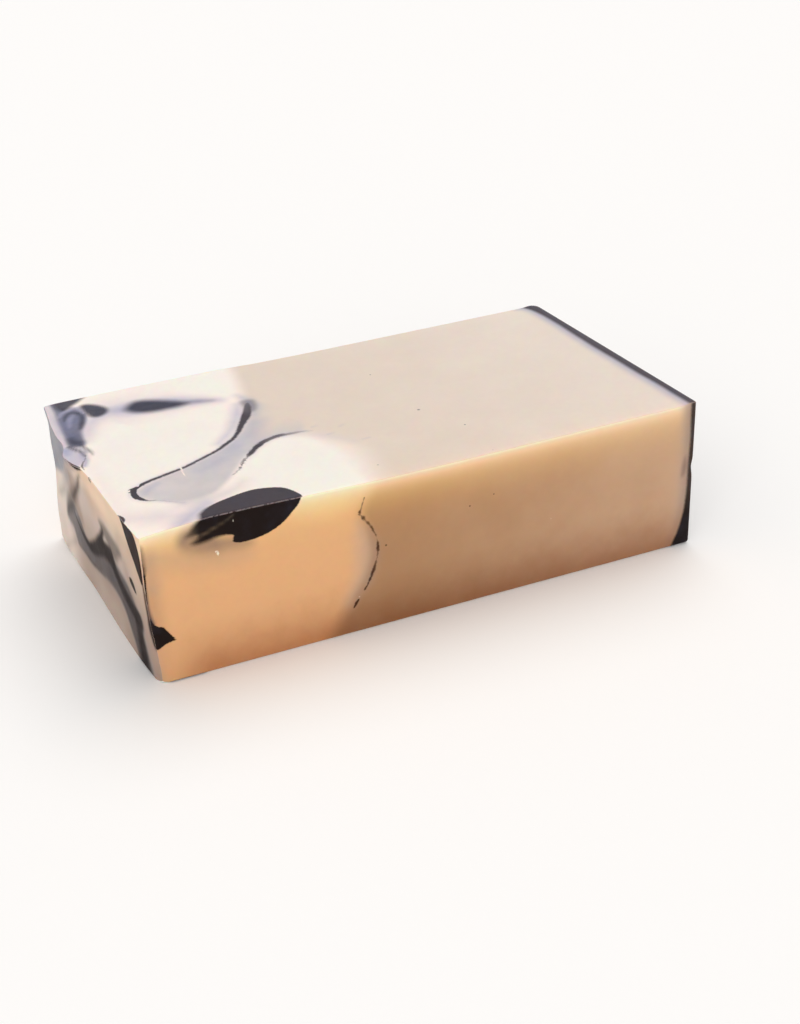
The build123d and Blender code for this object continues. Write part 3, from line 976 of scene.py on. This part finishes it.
# the walls' colours, warmer than the cut faces': partly the mould skin's own colour, partly painted warm
# bounce light
CREAM_WALL = (0.828, 0.488, 0.254)
TAN_WALL = (0.48, 0.275, 0.144)
TAN_WALL_FAR = (0.62, 0.405, 0.265)
POOL_WALL = (0.55, 0.43, 0.36)
# painted shade low on the walls
PAINTED_LOW_SHADE = (0.62, 0.46, 0.38)
# painted glow below the walls' top edge
PAINTED_GLOW_CREAM = (0.97, 0.88, 0.70)
PAINTED_GLOW_TAN = (0.90, 0.815, 0.64)
# painted glow near the top edges
GLOW_WALL = (0.95, 0.60, 0.30)
GLOW_CUT = (1.07, 1.03, 1.0)
# the poured end's pale soap in a shaded and a lit copy, for the painted light and shade
FILM_SHADED = (0.39, 0.28, 0.225)
FILM_LIT = (0.90, 0.765, 0.68)
FILM_WARM = (0.93, 0.68, 0.49)
POOL_GREY = (0.60, 0.555, 0.555)
HAZE_CUT = (0.30, 0.32, 0.50)
HAZE_WALL = (0.30, 0.195, 0.15)
HAZE_FILM = (0.30, 0.30, 0.34)
SMOKE_VIOLET = (0.034, 0.034, 0.062)
SMOKE_FILM = (0.012, 0.005, 0.005)
INK = (0.009, 0.003, 0.002)
# the dark soap on the cut faces, lighter and more violet than on the walls: partly its own violet tone,
# partly painted sheen
INK_CUT_SHEEN = (0.050, 0.038, 0.050)
INK_FILM = (0.022, 0.009, 0.006)
INK_LINE = (0.07, 0.019, 0.003)
# painted highlight and pale wear along the edges near the top
WORN_HIGHLIGHT = (0.40, 0.36, 0.37)
CHIP = (0.95, 0.86, 0.75)


def soap_material():
    material = bpy.data.materials.new("marbled_soap")
    n = Nodes(material)
    where = n.add("ShaderNodeTexCoord").outputs["Object"]
    place = n.add("ShaderNodeSeparateXYZ", {"Vector": where})
    fine = n.noise(where, 4.0, 4.0)
    medium = n.noise(where, 0.9, 4.0)
    broad = n.noise(where, 0.09)
    cloudy = n.noise(where, 0.3)
    wall, film = n.field("wall"), n.field("film")

    # pale soaps: creamier at the poured end, tan over the rest, paler again towards the dark layer
    tan = n.plus(n.field("tan"), n.around(cloudy, 0.16), clamp=True)
    far = n.step(n.plus(place.outputs["X"], n.around(broad, 0.03)), -0.01, 0.05)
    cut = n.mix(tan, CREAM_CUT, n.mix(far, TAN_CUT, TAN_CUT_FAR))
    side = n.mix(tan, CREAM_WALL, n.mix(far, TAN_WALL, TAN_WALL_FAR))
    # painted shade: the walls darker and warmer towards the bottom, except next to the poured end
    low = n.step(n.plus(place.outputs["Z"], n.around(cloudy, 0.004)), 0.010, -0.002)
    low = n.times(low, n.step(place.outputs["X"], -0.044, -0.034))
    side = n.mix(low, side, n.mix(1.0, side, PAINTED_LOW_SHADE, "MULTIPLY"))
    # painted glow below the top edges: orange on the walls, lighter on the cut faces
    bright = n.field("bright")
    side = n.mix(bright, side, GLOW_WALL)
    cut = n.mix(bright, cut, n.mix(1.0, cut, GLOW_CUT, "MULTIPLY"))

    # painted glow on the walls below the top edge, as from light that went in at the top edge and comes out
    # below it, red reaching deepest
    depth = n.field("depth")
    rim = n.add("ShaderNodeSeparateColor", {"Color": n.mix(tan, PAINTED_GLOW_CREAM, PAINTED_GLOW_TAN)})
    dim = n.add("ShaderNodeSeparateColor", {"Color": side})
    parts = {}
    for key, start, reach in (("Red", 0.9, 2.6), ("Green", 0.0, 2.1), ("Blue", 0.0, 1.2)):
        deep = n.math("MAXIMUM", n.minus(depth, start), 0.0)
        share = n.math("POWER", 2.71828, n.times(deep, -1.0 / reach))
        gain = n.minus(rim.outputs[key], dim.outputs[key])
        parts[key] = n.math("MULTIPLY_ADD", gain, share, dim.outputs[key])
    side = n.add("ShaderNodeCombineColor", parts).outputs[0]

    # the poured end: its pale soap in lit and shaded copies, mixed by the painted light
    pale = n.mix(bright, FILM_SHADED, n.mix(tan, FILM_LIT, FILM_WARM))
    base = n.mix(wall, cut, side)
    base = n.mix(film, base, pale)
    pool = n.times(n.field("pool"), n.plus(0.72, n.times(cloudy, 0.4)), clamp=True)
    base = n.mix(pool, base, n.mix(wall, POOL_GREY, POOL_WALL))
    haze = n.times(n.field("haze"), n.plus(0.75, n.times(cloudy, 0.5)), clamp=True)
    cast = n.mix(film, n.mix(wall, HAZE_CUT, HAZE_WALL), HAZE_FILM)
    base = n.mix(haze, base, cast)
    mottle = n.plus(0.95, n.plus(n.times(broad, 0.06), n.times(medium, 0.04)))
    base = n.add("ShaderNodeVectorMath", {0: base, "Scale": mottle}, operation="SCALE").outputs[0]

    # dark soap: blurred, in crisp shapes, and in lines
    smoke = n.field("smoke")
    patchy = n.times(n.around(medium, 0.4), n.times(smoke, n.minus(1.08, smoke)))
    smoke = n.plus(smoke, patchy, clamp=True)
    base = n.mix(smoke, base, n.mix(film, SMOKE_VIOLET, SMOKE_FILM))
    ragged = n.around(fine, 0.22)
    soft = n.field("soft")
    sharp = n.times(soft, -1.0)
    shapes = n.step(n.plus(n.field("ink"), ragged), soft, sharp)
    gaps = n.times(n.minus(n.noise(where, 1.7, 2.0), 0.56), n.times(n.field("broken"), 1.4))
    uneven = n.plus(n.math("MINIMUM", gaps, 0.06), n.around(n.noise(where, 2.6), 0.24))
    width = n.plus(n.field("width"), uneven)
    lines = n.step(n.minus(n.math("ABSOLUTE", n.field("vein")), width), soft, sharp)
    lines = n.times(lines, n.step(n.field("width"), -0.1, 0.03))
    dark = n.times(n.math("MAXIMUM", shapes, lines), n.field("dense"))
    for x, y, z, radius in SPECKS:
        gap = n.add("ShaderNodeVectorMath", {0: where, 1: (x * MM, y * MM, z * MM)}, operation="DISTANCE")
        spot = n.step(gap.outputs["Value"], 1.7 * radius * MM, 0.5 * radius * MM)
        dark = n.math("MAXIMUM", dark, n.times(spot, 0.75))
    # on the cut faces the dark soap is lighter, partly painted sheen
    ink = n.mix(film, n.mix(wall, INK_CUT_SHEEN, INK), INK_FILM)
    only = n.times(n.minus(lines, shapes, clamp=True), wall)
    ink = n.mix(only, ink, INK_LINE)
    ink = n.mix(n.times(n.step(cloudy, 0.4, 0.8), 0.3), ink, SMOKE_VIOLET)
    # a thin pale line on the dark soap along the edges near the top: partly a painted highlight of the
    # rounded edge, partly pale wear
    worn_highlight = n.times(n.step(n.field("edge"), 0.22, 0.07), n.step(n.noise(where, 2.4), 0.34, 0.56))
    worn_highlight = n.times(worn_highlight, n.step(place.outputs["Z"], 0.021, 0.023))
    ink = n.mix(n.times(worn_highlight, 0.5), ink, WORN_HIGHLIGHT)
    base = n.mix(dark, base, ink)
    base = n.mix(n.step(n.field("chip"), 0.1, -0.06), base, CHIP)

    rough = n.plus(0.42, n.times(medium, 0.16))
    rough = n.plus(rough, n.times(film, 0.12))

    # fine surface: the wire's drag on the cut faces, grain, and small pits
    stretched = n.add("ShaderNodeMapping", {"Vector": where, "Scale": (0.12, 1.0, 1.0)}).outputs[0]
    drag = n.noise(stretched, 1.6)
    pits = n.add("ShaderNodeTexVoronoi", {"Vector": where, "Scale": 0.35 / MM, "Randomness": 1.0})
    height = n.plus(n.times(fine, 0.35), n.times(drag, 0.5))
    height = n.plus(height, n.times(n.step(pits.outputs["Distance"], 0.02, 0.09), 0.6))
    bump = n.add("ShaderNodeBump", {"Strength": 0.35, "Distance": 0.03 * MM, "Height": height}).outputs[0]

    shader = n.add("ShaderNodeBsdfPrincipled", {
        "Base Color": base, "Roughness": rough, "Normal": bump, "IOR": 1.45, "Specular IOR Level": 0.16,
        "Subsurface Weight": 1.0, "Subsurface Radius": (1.0, 0.42, 0.2), "Subsurface Scale": 1.4 * MM,
    })
    shader.subsurface_method = "RANDOM_WALK"
    n.output("ShaderNodeOutputMaterial", shader)
    return material


# ---- stage, light and camera

def placed(name, data):
    """A new object in the scene."""
    ob = bpy.data.objects.new(name, data)
    bpy.context.scene.collection.objects.link(ob)
    return ob


FLOOR_HALF = 3.0
FLOOR_HEIGHT = -0.00002  # just under the bar, so that the two don't share a plane


def add_floor():
    material = bpy.data.materials.new("pale_floor")
    n = Nodes(material)
    path = n.add("ShaderNodeLightPath")
    colour = n.mix(path.outputs["Is Camera Ray"], (0.86, 0.84, 0.82), (1.0, 0.99, 0.985))
    shader = n.add("ShaderNodeBsdfDiffuse", {"Color": colour})
    n.output("ShaderNodeOutputMaterial", shader)
    mesh = bpy.data.meshes.new("floor")
    r, z = FLOOR_HALF, FLOOR_HEIGHT
    mesh.from_pydata([(-r, -r, z), (r, -r, z), (r, r, z), (-r, r, z)], [], [(0, 1, 2, 3)])
    mesh.materials.append(material)
    floor = placed("floor", mesh)


WORLD_LIGHT = 0.56
LAMPS = (
    # name, direction it shines from, strength, width in degrees
    ("key", (0.35, 0.40, 1.0), 0.34, 50),
    ("fill", (-0.50, -0.85, 0.45), 0.33, 60),
)


def add_light():
    world = bpy.data.worlds.new("studio")
    bpy.context.scene.world = world
    n = Nodes(world)
    path = n.add("ShaderNodeLightPath")
    seen = n.math("MAXIMUM", path.outputs["Is Camera Ray"], path.outputs["Is Glossy Ray"])
    seen = n.math("MAXIMUM", seen, path.outputs["Is Transmission Ray"])
    strength = n.plus(WORLD_LIGHT, n.times(seen, 1 - WORLD_LIGHT))
    shader = n.add("ShaderNodeBackground", {"Color": (0.985, 0.975, 0.965, 1.0), "Strength": strength})
    n.output("ShaderNodeOutputWorld", shader)
    for name, toward, strength, width in LAMPS:
        lamp = bpy.data.lights.new(name, "SUN")
        lamp.energy = strength * np.pi
        lamp.angle = np.radians(width)
        lamp.color = (1.0, 0.99, 0.97)
        ob = placed(name, lamp)
        ob.rotation_euler = Vector(toward).to_track_quat("Z", "Y").to_euler()
        ob.location = Vector(toward) * 0.5
        ob.visible_glossy = False


CAMERA_RIGHT = (0.9069, -0.4199, -0.0339)
CAMERA_FORWARD = (0.3585, 0.8115, -0.4615)
LENS = 53.82  # with the sensor width at its default, 36 mm


def add_camera():
    camera = bpy.data.cameras.new("camera")
    camera.lens = LENS
    camera.clip_start = 0.01
    ob = placed("camera", camera)
    right = Vector(CAMERA_RIGHT).normalized()
    forward = Vector(CAMERA_FORWARD).normalized()
    up = right.cross(forward).normalized()
    right = forward.cross(up)
    turn = Matrix((right, up, -forward)).transposed().to_4x4()
    ob.matrix_world = Matrix.Translation(Vector(CAMERA) * MM) @ turn
    bpy.context.scene.camera = ob


bpy.context.scene.view_settings.view_transform = "Standard"
soap = placed("soap_bar_marbled", soap_mesh())
soap.data.materials.append(soap_material())
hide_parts("soap_bar")
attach(soap, "root")
add_floor()
add_light()
add_camera()
